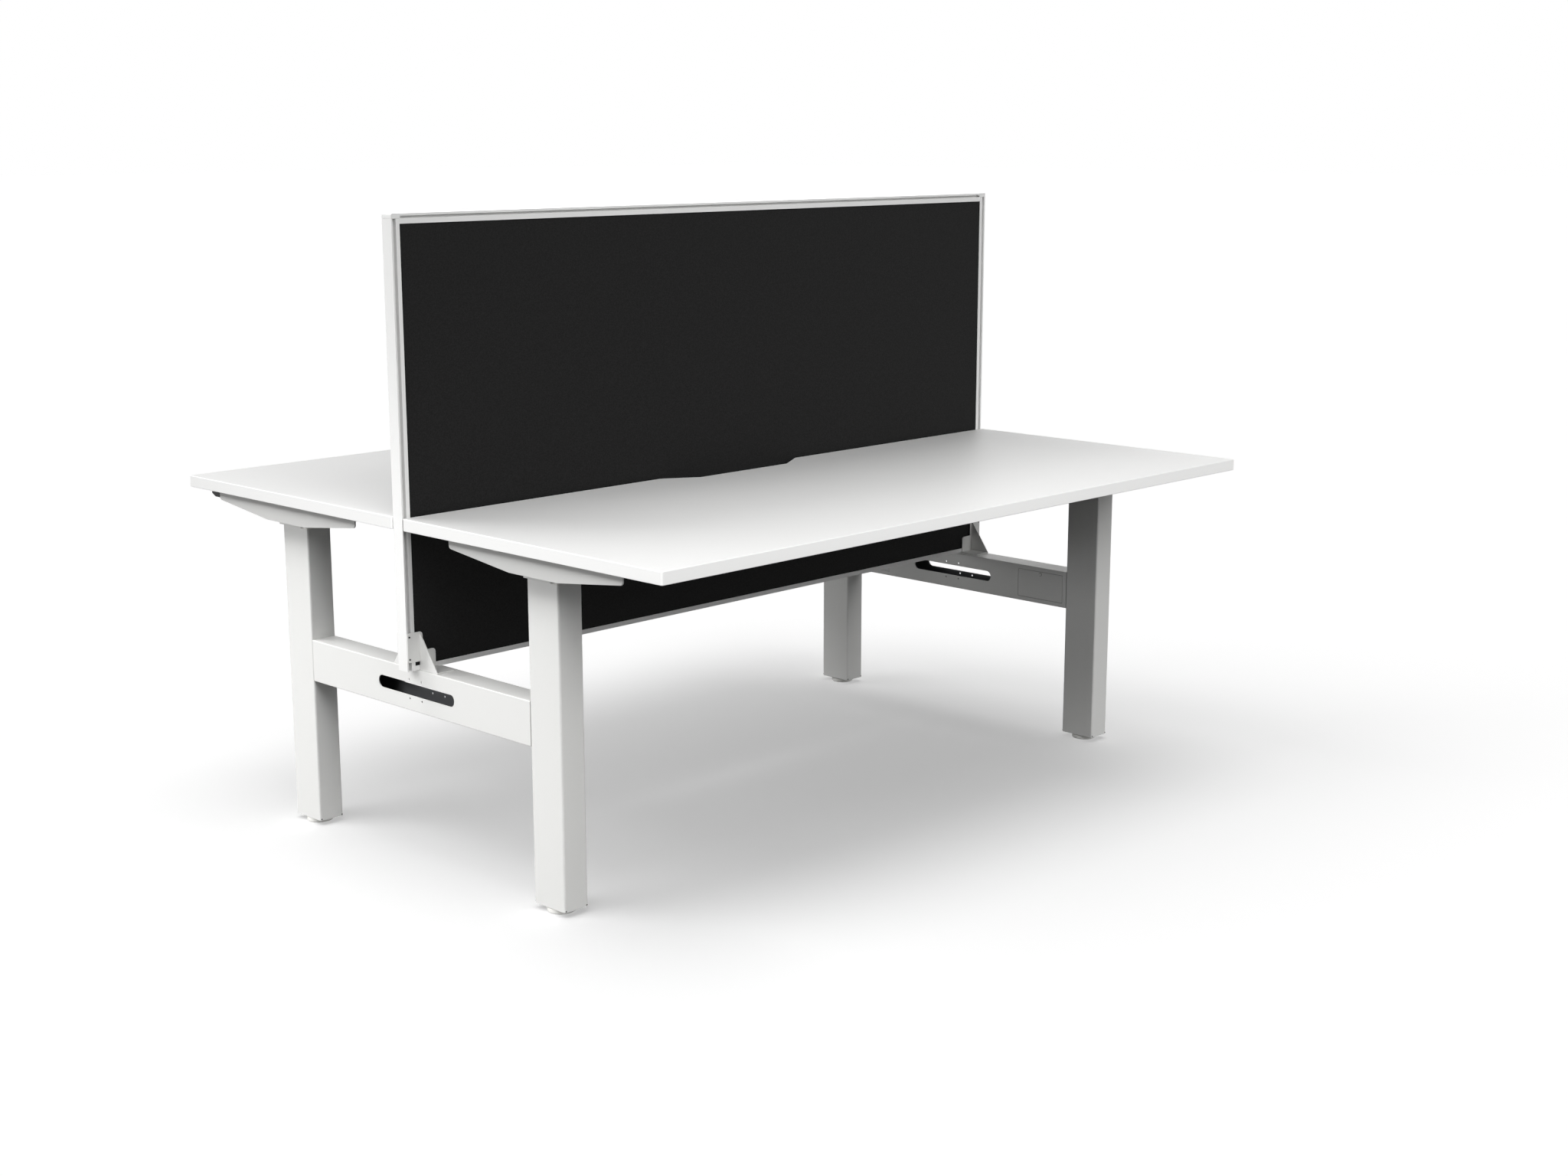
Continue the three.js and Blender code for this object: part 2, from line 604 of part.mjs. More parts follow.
// End beam: a hollow box between two legs, slotted and drilled through both walls, with an
// opening in its inner wall for each access cover. side is -1 at the left end and 1 at the right.
function makeBeam(side) {
  const outside = rectangle(LEG_WIDTH, BEAM_HEIGHT, BEAM_ROUND);
  const inside = rectangle(LEG_WIDTH - 2 * BEAM_WALL, BEAM_HEIGHT - 2 * BEAM_WALL);
  const inPlace = (geometry) => geometry.translate(side * legX, 0, beamMiddle);
  const bar = inPlace(alongY(outside, -beamHalf, beamHalf));
  const hollow = inPlace(alongY(inside, -beamHalf - CUT_MARGIN, beamHalf + CUT_MARGIN));
  const reach = beamFace + CUT_MARGIN;
  const through = (shape, y, z) =>
    alongX(shape, side * legX - reach, side * legX + reach, CIRCLE_STEPS).translate(0, y, z);
  const slot = through(obround(SLOT_LENGTH, SLOT_HEIGHT), 0, beamMiddle);
  const holes = [];
  for (const across of [-1, 1]) {
    for (const up of [-1, 1]) {
      const hole = circle(HOLE_RADIUS);
      holes.push(through(hole, (across * HOLE_PITCH) / 2, beamMiddle + (up * HOLE_PITCH) / 2));
    }
  }
  const doors = [-1, 1].map((end) => {
    const grow = 2 * COVER_GAP;
    const shape = rectangle(COVER_LENGTH + grow, coverHeight + grow, COVER_ROUND);
    const innerWall = side * (legX - beamFace);
    return alongX(shape, innerWall - beamFace / 2, innerWall + beamFace / 2)
      .translate(0, end * coverY, beamMiddle);
  });
  return cut(bar, hollow, slot, ...holes, ...doors);
}

// Access cover: a plate that lies flush in the beam's inner wall, with a quarter-turn lock
function makeCover(side) {
  const outer = side * (legX - beamFace);
  const inner = outer + side * BEAM_WALL;
  const plate = alongX(
    rectangle(COVER_LENGTH, coverHeight, COVER_ROUND),
    Math.min(outer, inner),
    Math.max(outer, inner),
  );
  const lock = rod(LOCK_RADIUS, 0, BEAM_WALL + LOCK_PROUD)
    .rotateY((-side * Math.PI) / 2)
    .translate(inner, 0, coverHeight / 2 - LOCK_TO_EDGE);
  return join(plate, lock).translate(0, -coverY, beamMiddle);
}

// Frame extrusion of the screen: u runs inwards from the frame's outer edge and v across its
// thickness. Each face has a groove, and the inner edge a channel for the panel.
function framePoints(lip, groove, strip) {
  const width = lip + groove + strip;
  const face = screenFace;
  const channel = face - FRAME_LIP;
  const channelFloor = width - PANEL_TONGUE - FIT_GAP;
  const grooveFloor = face - GROOVE_DEPTH;
  const half = [
    [0, face],
    [lip, face],
    [lip, grooveFloor],
    [lip + groove, grooveFloor],
    [lip + groove, face],
    [width, face],
    [width, channel],
    [channelFloor, channel],
  ];
  const otherHalf = half.map(([u, v]) => [u, -v]).reverse();
  return [...half, ...otherHalf];
}

function makePost(side) {
  const points = framePoints(POST_LIP, POST_GROOVE, POST_STRIP);
  const shape = outline(points.map(([u, v]) => [side * (screenEnd - u), v]));
  return alongZ(shape, screenBottom, screenTop - CORNER_HEIGHT - SEAT_GAP);
}

// Top rail, with a plain corner block over each post
function makeTopRail() {
  const points = framePoints(RAIL_LIP, RAIL_GROOVE, RAIL_STRIP);
  const shape = outline(points.map(([u, v]) => [v, screenTop - u]));
  const end = postInside - SEAT_GAP;
  const rail = alongX(shape, -end, end);
  const blockBottom = screenTop - CORNER_HEIGHT;
  const blocks = [-1, 1].map((side) =>
    box(side * (end - FRAME_LIP), side * screenEnd, -screenFace, screenFace, blockBottom, screenTop));
  return join(rail, ...blocks);
}

function makeBottomRail() {
  const channel = screenFace - FRAME_LIP;
  const floor = SILL_HEIGHT - PANEL_TONGUE - FIT_GAP;
  const end = postInside - SEAT_GAP;
  const shape = outline([
    [-screenFace, 0],
    [screenFace, 0],
    [screenFace, SILL_HEIGHT],
    [channel, SILL_HEIGHT],
    [channel, floor],
    [-channel, floor],
    [-channel, SILL_HEIGHT],
    [-screenFace, SILL_HEIGHT],
  ]);
  return alongX(shape, -end, end).translate(0, 0, screenBottom);
}

// Panel: a board covered in fabric, held by its edges in the frame
function makePanel() {
  const x = postInside + PANEL_TONGUE;
  const y = screenFace - FRAME_LIP - FIT_GAP;
  const bottom = screenBottom + SILL_HEIGHT - PANEL_TONGUE;
  const top = screenTop - railHeight + PANEL_TONGUE;
  return box(-x, x, -y, y, bottom, top);
}

// Screen bracket of the near half: a back plate against the screen, whose tall tab is screwed to
// the post and whose short tab lies behind the gusset, and a base that stands on the beam
function makeBracket(side) {
  const face = -screenFace - SEAT_GAP;
  const sheetFace = face - BRACKET_SHEET;
  const base = BEAM_TOP + SEAT_GAP;
  const gussetX = legX + beamFace - GUSSET_INSET;
  const gussetInside = gussetX - BRACKET_SHEET;
  const tallEnd = screenEnd - TALL_TAB_INSET;
  const tallInside = gussetX - TALL_TAB_PAST;
  const shortEnd = gussetX - SHORT_TAB_REACH;
  const reach = -screenFace - GUSSET_REACH;
  const across = (x0, x1) => [Math.min(side * x0, side * x1), Math.max(side * x0, side * x1)];
  const tallTab = outline([
    [side * tallEnd, BEAM_TOP + TALL_TAB_LOW, TAB_FOOT_ROUND],
    [side * tallEnd, BEAM_TOP + TALL_TAB_HIGH, TAB_FOOT_ROUND],
    [side * tallInside, BEAM_TOP + TALL_TAB_HIGH, TAB_ROUND],
    [side * tallInside, base],
    [side * gussetX, base],
    [side * gussetX, BEAM_TOP + TALL_TAB_LOW],
  ]);
  const shortTab = outline([
    [side * shortEnd, base],
    [side * gussetInside, base],
    [side * gussetInside, BEAM_TOP + SHORT_TAB_HIGH],
    [side * shortEnd, BEAM_TOP + SHORT_TAB_HIGH, TAB_ROUND],
  ]);
  const gusset = outline([
    [face, base],
    [face, BEAM_TOP + GUSSET_HIGH],
    [sheetFace, BEAM_TOP + GUSSET_HIGH],
    [reach, base + BRACKET_SHEET],
    [reach, base],
  ]);
  const [baseX0, baseX1] = across(gussetX, gussetX - BASE_WIDTH);
  return join(
    alongY(tallTab, sheetFace, face),
    alongY(shortTab, sheetFace, face),
    alongX(gusset, ...across(gussetX, gussetInside)),
    box(baseX0, baseX1, reach, face, base, base + BRACKET_SHEET),
  );
}

function add(parent, name, geometry, material) {
  const mesh = new THREE.Mesh(geometry, material);
  mesh.name = name;
  parent.add(mesh);
  return mesh;
}

const desk = new THREE.Group();

// End frames and screen
for (const [side, end] of [[-1, 'left'], [1, 'right']]) {
  add(desk, `end_beam_${end}`, makeBeam(side), whiteSteel());
  add(desk, `screen_post_${end}`, makePost(side), whiteFrame());
}
add(desk, 'screen_top_rail', makeTopRail(), whiteFrame());
add(desk, 'screen_bottom_rail', makeBottomRail(), whiteFrame());
add(desk, 'screen_panel', makePanel(), blackFabric());

// The two halves. side counts in the half's own frame, where 1 is the user's right hand.
for (const [half, turn] of [['near', 0], ['far', Math.PI]]) {
  const user = new THREE.Group();
  user.rotation.z = turn;
  desk.add(user);

  add(user, `desktop_${half}`, makeDesktop(), whiteBoard());
  add(user, `crossbar_${half}`, makeCrossbar(), whiteSteel()).position.y = -legY;
  const control = add(user, `control_box_${half}`, makeControlBox(), blackPlastic());
  control.position.y = CROSSBAR_WIDTH / 2 + CONTROL_TO_CROSSBAR + CONTROL_WIDTH / 2 - legY;
  add(user, `handset_${half}`, makeHandset(), blackPlastic());
  for (const [side, word] of [[-1, 'down'], [1, 'up']]) {
    const button = makeButton(0, -BUTTON_SUNK, BUTTON_PROUD);
    const key = add(user, `${word}_button_${half}`, button, greyPlastic());
    key.position.set(handsetX + (side * BUTTON_PITCH) / 2, faceMiddle.x, faceMiddle.y);
    key.rotation.x = faceTurn;
  }

  for (const side of [-1, 1]) {
    const end = (side > 0) === (half === 'near') ? 'right' : 'left';
    const place = `${half}_${end}`;
    const column = new THREE.Group();
    column.position.set(side * legX, -legY, 0);
    user.add(column);
    add(column, `outer_leg_${place}`, makeOuterLeg(), whiteSteel());
    add(column, `guide_collar_${place}`, makeCollar(), whitePlastic());
    add(column, `inner_leg_${place}`, makeInnerLeg(), whiteSteel());
    add(column, `levelling_foot_${place}`, makeFoot(), whitePlastic());
    add(column, `nut_post_${place}`, makeNutPost(), zincSteel());
    add(column, `lead_screw_${place}`, makeLeadScrew(), barSteel());
    add(column, `motor_gearbox_${place}`, makeMotor(), zincSteel());
    add(column, `support_arm_${place}`, makeArm(), whiteSteel());
    add(user, `access_cover_${place}`, makeCover(side), whiteSteel());
    add(user, `screen_bracket_${place}`, makeBracket(side), whiteSteel());
  }
}

export default desk;
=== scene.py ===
import json
import math

import bmesh
import bpy
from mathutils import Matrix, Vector


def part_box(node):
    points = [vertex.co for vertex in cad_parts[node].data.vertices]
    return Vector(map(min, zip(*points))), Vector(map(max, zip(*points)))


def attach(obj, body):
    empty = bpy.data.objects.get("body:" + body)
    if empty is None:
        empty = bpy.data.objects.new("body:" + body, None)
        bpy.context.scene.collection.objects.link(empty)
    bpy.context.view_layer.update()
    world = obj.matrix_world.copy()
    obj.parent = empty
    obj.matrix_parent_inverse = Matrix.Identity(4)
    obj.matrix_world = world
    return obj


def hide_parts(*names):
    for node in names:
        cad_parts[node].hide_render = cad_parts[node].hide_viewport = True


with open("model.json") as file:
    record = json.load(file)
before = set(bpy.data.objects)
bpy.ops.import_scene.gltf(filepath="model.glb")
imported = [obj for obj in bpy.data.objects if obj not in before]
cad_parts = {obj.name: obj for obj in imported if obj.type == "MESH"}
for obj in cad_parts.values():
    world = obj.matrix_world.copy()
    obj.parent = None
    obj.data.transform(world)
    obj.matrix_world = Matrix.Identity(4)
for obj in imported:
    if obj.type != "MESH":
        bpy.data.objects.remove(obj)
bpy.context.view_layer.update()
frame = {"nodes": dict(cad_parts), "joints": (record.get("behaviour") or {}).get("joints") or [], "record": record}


# Camera: it stands off the near left corner of the desk, a little higher than the screen.
# Its place, turn and lens were worked out from the straight edges of desktops, legs and screen.
CAMERA_PLACE = (-3.38785, -3.45658, 1.47425)
CAMERA_TILT = -12.02  # degrees from level
CAMERA_TURN = -46.02  # degrees from +Y
LENS = 49.78  # millimetres, on the usual 36 mm sensor
camera_data = bpy.data.cameras.new("camera")
camera_data.lens = LENS
camera = bpy.data.objects.new("camera", camera_data)
camera.location = CAMERA_PLACE
camera.rotation_euler = (math.radians(90 + CAMERA_TILT), 0, math.radians(CAMERA_TURN))
bpy.context.scene.collection.objects.link(camera)
bpy.context.scene.camera = camera
bpy.context.scene.view_settings.view_transform = "Standard"


# Floor and background: a plain white studio. The camera sees a white floor with the desk's soft
# shadow on it, and the desk gets little light back from it, as in the photograph.
FLOOR_REACH = 60  # metres
FLOOR_COLOUR = "dddddd"
FLOOR_GLOW = 0.436  # lifts the lit floor to white and keeps the shadow grey
FLOOR_BOUNCE = "3a3a3a"
WORLD_FILL = 0


def linear(hex_colour):
    """An sRGB colour such as "f0f0ee" as the linear RGBA that a shader takes."""
    channels = [int(hex_colour[start:start + 2], 16) / 255 for start in (0, 2, 4)]
    return [c / 12.92 if c <= 0.04045 else ((c + 0.055) / 1.055) ** 2.4 for c in channels] + [1]


def add_node(tree, kind, inputs=None, **settings):
    """Adds a node with its settings. inputs gives a socket its value, or the output that feeds it."""
    node = tree.nodes.new(kind)
    for setting, value in settings.items():
        setattr(node, setting, value)
    for socket, value in (inputs or {}).items():
        if isinstance(value, bpy.types.NodeSocket):
            tree.links.new(value, node.inputs[socket])
        else:
            node.inputs[socket].default_value = value
    return node


def seen_directly(tree):
    """1 for what the camera sees, straight or in a reflection or glass, and 0 for light that is passed on."""
    path = add_node(tree, "ShaderNodeLightPath").outputs
    seen = add_node(tree, "ShaderNodeMath", {0: path["Is Camera Ray"], 1: path["Is Glossy Ray"]}, operation="MAXIMUM")
    return add_node(
        tree, "ShaderNodeMath", {0: seen.outputs[0], 1: path["Is Transmission Ray"]}, operation="MAXIMUM"
    ).outputs[0]


floor_paint = bpy.data.materials.new("white studio floor")
floor_paint.use_nodes = True
tree = floor_paint.node_tree
tree.nodes.clear()
white = add_node(tree, "ShaderNodeBsdfDiffuse", {"Color": linear(FLOOR_COLOUR)})
glow = add_node(tree, "ShaderNodeEmission", {"Strength": FLOOR_GLOW})
lit = add_node(tree, "ShaderNodeAddShader", {0: white.outputs[0], 1: glow.outputs[0]})
bounce = add_node(tree, "ShaderNodeBsdfDiffuse", {"Color": linear(FLOOR_BOUNCE)})
shown = add_node(
    tree, "ShaderNodeMixShader", {0: seen_directly(tree), 1: bounce.outputs[0], 2: lit.outputs[0]}
)
add_node(tree, "ShaderNodeOutputMaterial", {"Surface": shown.outputs[0]})

floor_mesh = bpy.data.meshes.new("floor")
corners = [(x * FLOOR_REACH, y * FLOOR_REACH, 0) for x, y in ((-1, -1), (1, -1), (1, 1), (-1, 1))]
floor_mesh.from_pydata(corners, [], [(0, 1, 2, 3)])
floor_mesh.materials.append(floor_paint)
floor = bpy.data.objects.new("floor", floor_mesh)
bpy.context.scene.collection.objects.link(floor)

world = bpy.data.worlds.new("white studio")
bpy.context.scene.world = world
world.use_nodes = True
tree = world.node_tree
strength = add_node(
    tree, "ShaderNodeMapRange", {"Value": seen_directly(tree), "To Min": WORLD_FILL, "To Max": 1}
)
tree.nodes["Background"].inputs["Color"].default_value = linear("ffffff")
tree.links.new(strength.outputs[0], tree.nodes["Background"].inputs["Strength"])


# Light: a studio with soft lamps in sets, for the white ground, the desktops, the arms under them, the
# frame and screen, and the frame's left side. Each lamp has its turn from +X towards +Y and its height.
FAR_SPREAD = 40  # degrees

ground_only = bpy.data.collections.new("lit by the ground lamps")
tops_only = bpy.data.collections.new("lit by the desktop lamps")
arms_only = bpy.data.collections.new("lit by the arm lamps")
legs_only = bpy.data.collections.new("lit by the leg lamp")
frame_only = bpy.data.collections.new("not lit by the frame lamps")
side_only = bpy.data.collections.new("not lit by the frame's left lamp")


def light_apart(obj, lit, *unlit):
    """Puts an object in the light of one set of lamps, and out of the light of others."""
    lit.objects.link(obj)
    for left_out in unlit:
        left_out.objects.link(obj)
        left_out.collection_objects[-1].light_linking.link_state = "EXCLUDE"


light_apart(floor, ground_only, frame_only, side_only)


def light_leg(obj, where):
    """Puts a piece of a left leg in the light of the leg lamp, which leaves it darker under the arm."""
    if where.endswith("left"):
        light_apart(obj, legs_only, side_only)


def hang(name, kind, turn, height, strength, lit):
    """Hangs a lamp that shines from this direction, on what the collection lit allows."""
    light = bpy.data.lights.new(name, kind)
    light.energy = strength
    lamp = bpy.data.objects.new(name, light)
    bpy.context.scene.collection.objects.link(lamp)
    level = math.cos(math.radians(height))
    towards = Vector((
        level * math.cos(math.radians(turn)),
        level * math.sin(math.radians(turn)),
        math.sin(math.radians(height)),
    ))
    lamp.rotation_euler = towards.to_track_quat("Z", "Y").to_euler()
    lamp.light_linking.receiver_collection = lit
    return lamp, light, towards


# Far lamps: large and distant, by their strength. Those on the right fill the side that faces away from
# the camera, and leave no glare on what it sees.
for name, turn, height, strength, lit in (
    ("ground_above", 0, 85, 1.04, ground_only),
    ("ground_left", 150, 45, 1.03, ground_only),
    ("ground_front", 210, 65, 0.79, ground_only),
    ("tops_behind", 105, 35, 1.4, tops_only),
    ("tops_above", 105, 65, 0.8, tops_only),
    ("tops_front", 270, 12, 1.52, tops_only),
    ("tops_right", 20, 5, 1.9, tops_only),
    ("arms_left", 180, 70, 5.9, arms_only),
    ("arms_left_low", 180, 15, 0.55, arms_only),
    ("arms_right", 0, 45, 2.5, arms_only),
    ("arms_behind", 90, 28, 1, arms_only),
    ("arms_front", 270, 28, 1, arms_only),
    ("frame_behind", 120, 45, 1.48, frame_only),
    ("frame_left", 180, 35, 1.6, side_only),
    ("legs_left", 160, 75, 5.4, legs_only),
    ("frame_right", 20, 12, 1.9, frame_only),
    ("frame_corner", 240, 45, 0.57, frame_only),
    ("frame_front", 270, 28, 1.6, frame_only),
):
    lamp, light, towards = hang(name, "SUN", turn, height, strength, lit)
    light.angle = math.radians(FAR_SPREAD)
    lamp.visible_glossy = not name.endswith("_right")

# Softboxes: square lamps near the desk, by their watts, their side and their distance from a point above
# its middle
for name, turn, height, watts, side, away, aim, lit in (
    ("softbox_left", 180, 6, 66, 2, 3.5, 0.7, tops_only),
    ("softbox_corner", 240, 40, 65, 2, 3.5, 0.7, tops_only),
    ("softbox_front", 300, 0, 5, 0.6, 2.6, 0.7, tops_only),
    ("softbox_above", 120, 65, 150, 2, 3.5, 0.7, frame_only),
    ("softbox_low", 150, 0, 14, 0.8, 2.6, 0.25, frame_only),
    ("softbox_near", 199, 0, 1.7, 0.5, 1.7, 0.1, frame_only),
):
    lamp, light, towards = hang(name, "AREA", turn, height, watts, lit)
    light.shape = "SQUARE"
    light.size = side
    lamp.location = towards * away + Vector((0, 0, aim))
    lamp.visible_camera = False


# Levelling feet: round pads moulded in white polyamide on a zinc-plated M10 stud, which screws into
# the leg's base plate. The pad's rim is rounded, and its sole stands on a ring.
MM = 0.001
PLACES = ("near_left", "near_right", "far_left", "far_right")
PAD_RADIUS = 28
PAD_HEIGHT = 9.7
PAD_RIM = 3  # rounding of the upper rim
SOLE_RADIUS = 26.5
SOLE_RING = 4  # width of the ring that touches the floor
SOLE_HOLLOW = 0.8
STUD_RADIUS = 5
STUD_TOP = 37.7
STUD_PITCH = 1.5
STUD_THREAD = 0.8  # depth of the thread
FOOT_SIDES = 48
body_of = {node: body for body, nodes in frame["record"]["behaviour"]["bodies"].items() for node in nodes}


def new_finish(name, colour, roughness, ior=1.5, metallic=0):
    """A material named for what it is. Returns it with its tree, shader and Object coordinates."""
    finish = bpy.data.materials.new(name)
    finish.use_nodes = True
    tree = finish.node_tree
    shader = tree.nodes["Principled BSDF"]
    shader.inputs["Base Color"].default_value = linear(colour)
    shader.inputs["Roughness"].default_value = roughness
    shader.inputs["IOR"].default_value = ior
    shader.inputs["Metallic"].default_value = metallic
    return finish, tree, shader, add_node(tree, "ShaderNodeTexCoord").outputs["Object"]


def grain(tree, shader, place, size, depth, strength=1):
    """Gives a finish a fine raised grain, of that size and depth in millimetres."""
    noise = add_node(tree, "ShaderNodeTexNoise", {"Vector": place, "Scale": 1 / (size * MM), "Detail": 2})
    bump = add_node(
        tree, "ShaderNodeBump",
        {"Height": noise.outputs["Fac"], "Distance": depth * MM, "Strength": strength},
    )
    tree.links.new(bump.outputs[0], shader.inputs["Normal"])
    return noise.outputs["Fac"]


def vary_roughness(tree, shader, place, size, low, high):
    """Lets the gloss drift a little over patches of that size in millimetres."""
    noise = add_node(tree, "ShaderNodeTexNoise", {"Vector": place, "Scale": 1 / (size * MM), "Detail": 3})
    drift = add_node(
        tree, "ShaderNodeMapRange", {"Value": noise.outputs["Fac"], "To Min": low, "To Max": high}
    )
    tree.links.new(drift.outputs[0], shader.inputs["Roughness"])


# Moulded polyamide: slightly warm white, satin, with the fine spark texture of the mould
white_polyamide, tree, shader, place = new_finish("moulded polyamide, white", "f0efeb", 0.5, ior=1.53)
grain(tree, shader, place, size=0.7, depth=0.03)
vary_roughness(tree, shader, place, size=14, low=0.44, high=0.56)

# Zinc plate: cool grey metal with a faint cloudy gloss from the bath
zinc_plate, tree, shader, place = new_finish("zinc-plated steel", "a9acb0", 0.4, metallic=1)
grain(tree, shader, place, size=0.5, depth=0.02)
vary_roughness(tree, shader, place, size=9, low=0.3, high=0.5)


def new_tree(name, sockets):
    """An empty Geometry Nodes tree with its named sockets, each a (name, kind, way)."""
    tree = bpy.data.node_groups.new(name, "GeometryNodeTree")
    for label, kind, way in sockets:
        tree.interface.new_socket(label, in_out=way, socket_type="NodeSocket" + kind)
    return tree, add_node(tree, "NodeGroupInput").outputs


def work_in(obj, tree, values):
    """Runs a Geometry Nodes tree on an object with these named inputs, and keeps the result as its mesh."""
    modifier = obj.modifiers.new(tree.name, "NODES")
    modifier.node_group = tree
    for socket in tree.interface.items_tree:
        if socket.name in values:
            modifier[socket.identifier] = values[socket.name]
    bpy.context.view_layer.update()
    evaluated = obj.evaluated_get(bpy.context.evaluated_depsgraph_get())
    worked = bpy.data.meshes.new_from_object(evaluated)
    obj.modifiers.remove(modifier)
    bare = obj.data
    obj.data = worked
    bpy.data.meshes.remove(bare)


# The thread's ridge runs up the piece as a helix, half sunk in the core that the piece brings along.
thread, given = new_tree("thread on a core", (
    ("Core", "Geometry", "INPUT"),
    ("Crest Radius", "Float", "INPUT"),
    ("Depth", "Float", "INPUT"),
    ("Lead", "Float", "INPUT"),
    ("Turns", "Float", "INPUT"),
    ("Foot", "Vector", "INPUT"),
    ("Material", "Material", "INPUT"),
    ("Threaded", "Geometry", "OUTPUT"),
))
middle = add_node(thread, "ShaderNodeMath", {0: given["Crest Radius"], 1: given["Depth"]}, operation="SUBTRACT")
rise = add_node(thread, "ShaderNodeMath", {0: given["Lead"], 1: given["Turns"]}, operation="MULTIPLY")
helix = add_node(thread, "GeometryNodeCurveSpiral", {
    "Resolution": 20,
    "Rotations": given["Turns"],
    "Start Radius": middle.outputs[0],
    "End Radius": middle.outputs[0],
    "Height": rise.outputs[0],
})
upright = add_node(thread, "GeometryNodeSetCurveNormal", {"Curve": helix.outputs[0]}, mode="Z_UP")
ridge = add_node(thread, "GeometryNodeCurvePrimitiveCircle", {"Resolution": 4, "Radius": given["Depth"]})
swept = add_node(thread, "GeometryNodeCurveToMesh", {
    "Curve": upright.outputs[0],
    "Profile Curve": ridge.outputs[0],
    "Fill Caps": True,
})
raised = add_node(thread, "GeometryNodeTransform", {"Geometry": swept.outputs[0], "Translation": given["Foot"]})
coated = add_node(thread, "GeometryNodeSetMaterial", {
    "Geometry": raised.outputs[0],
    "Material": given["Material"],
})
both = add_node(thread, "GeometryNodeJoinGeometry")
thread.links.new(coated.outputs[0], both.inputs[0])
thread.links.new(given["Core"], both.inputs[0])
whole = add_node(thread, "GeometryNodeRealizeInstances", {"Geometry": both.outputs[0]})
add_node(thread, "NodeGroupOutput", {"Threaded": whole.outputs[0]})


def arc(radius, height, bend, start, end, steps=6):
    """Points of a profile's rounding about (radius, height), from one angle to the other in degrees."""
    angles = [math.radians(start + (end - start) * step / steps) for step in range(steps + 1)]
    return [(radius + bend * math.cos(a), height + bend * math.sin(a)) for a in angles]


def turned(profile, centre, sides):
    """A shape turned about an upright axis from (radius, height) points in millimetres."""
    shape = bmesh.new()
    corners = [shape.verts.new((centre.x + radius * MM, centre.y, height * MM)) for radius, height in profile]
    edges = [shape.edges.new(pair) for pair in zip(corners, corners[1:])]
    bmesh.ops.spin(
        shape, geom=corners + edges, axis=(0, 0, 1), cent=(centre.x, centre.y, 0), angle=2 * math.pi, steps=sides,
    )
    bmesh.ops.remove_doubles(shape, verts=shape.verts, dist=0.001 * MM)
    bmesh.ops.recalc_face_normals(shape, faces=shape.faces)
    return shape


def as_object(shape, piece, *finishes):
    """The finished shape as an object at the origin, smooth where its faces nearly line up."""
    mesh = bpy.data.meshes.new(piece)
    shape.to_mesh(mesh)
    shape.free()
    mesh.shade_smooth()
    mesh.set_sharp_from_angle(angle=math.radians(35))
    for finish in finishes:
        mesh.materials.append(finish)
    obj = bpy.data.objects.new(piece, mesh)
    bpy.context.scene.collection.objects.link(obj)
    return obj


def settle(obj, node):
    """The piece stands for a CAD node: it rides on the node's body, and the node is hidden."""
    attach(obj, body_of[node])
    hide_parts(node)
    return obj


for where in PLACES:
    node = f"levelling_foot_{where}"
    low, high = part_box(node)
    centre = (low + high) / 2
    core = STUD_RADIUS - STUD_THREAD
    profile = [
        (0, SOLE_HOLLOW),
        (SOLE_RADIUS - SOLE_RING - SOLE_HOLLOW, SOLE_HOLLOW),
        (SOLE_RADIUS - SOLE_RING, 0),
        (SOLE_RADIUS, 0),
        (PAD_RADIUS, PAD_RADIUS - SOLE_RADIUS),
        *arc(PAD_RADIUS - PAD_RIM, PAD_HEIGHT - PAD_RIM, PAD_RIM, 0, 90),
        (core, PAD_HEIGHT),
        (core, STUD_TOP),
        (0, STUD_TOP),
    ]
    shape = turned(profile, centre, FOOT_SIDES)
    for face in shape.faces:
        face.material_index = 1 if face.calc_center_median().z > (PAD_HEIGHT + 0.1) * MM else 0
    foot = as_object(shape, f"foot_pad_{where}", white_polyamide, zinc_plate)
    work_in(foot, thread, {
        "Crest Radius": STUD_RADIUS * MM,
        "Depth": STUD_THREAD * MM,
        "Lead": STUD_PITCH * MM,
        "Turns": (STUD_TOP - PAD_HEIGHT) / STUD_PITCH - 2,
        "Foot": (centre.x, centre.y, (PAD_HEIGHT + STUD_PITCH) * MM),
        "Material": zinc_plate,
    })
    settle(foot, node)


# Outer legs: rectangular steel tube, 58 by 90 mm, with a welded base plate for the foot's stud.
# They are powder coated in white after welding. Small black dots near the floor are painted shade of small holes.
EDGE_ANGLE = 40  # degrees; flatter bends are part of a rounding
LEG_EDGE = 0.5
SHADE_DOT_RADIUS = 1.6
SHADE_DOT_HEIGHT = 0.3
SHADE_DOT_DIMPLE = 0.7
SHADE_DOT_IN = 3.2  # from the leg's side to the dot
SHADE_DOT_UP = 3.2  # from the leg's lower end


def cad_shape(node):
    """A CAD node's shape, with its corners shared and its flat faces whole."""
    shape = bmesh.new()
    shape.from_mesh(frame["nodes"][node].data)
    bmesh.ops.remove_doubles(shape, verts=shape.verts, dist=0.005 * MM)
    bmesh.ops.dissolve_limit(
        shape, angle_limit=math.radians(0.5), verts=shape.verts, edges=shape.edges, delimit={"NORMAL"},
    )
    return shape


def dress(shape, node, piece, edge, *finishes):
    """Makes a piece of a CAD node's shape: its sharp edges get a small rounding, in millimetres."""
    obj = as_object(shape, piece, *finishes)
    rounding = obj.modifiers.new("rounded edges", "BEVEL")
    rounding.width = edge * MM
    rounding.segments = 2
    rounding.limit_method = "ANGLE"
    rounding.angle_limit = math.radians(EDGE_ANGLE)
    obj.modifiers.new("level faces", "WEIGHTED_NORMAL")
    return settle(obj, node)


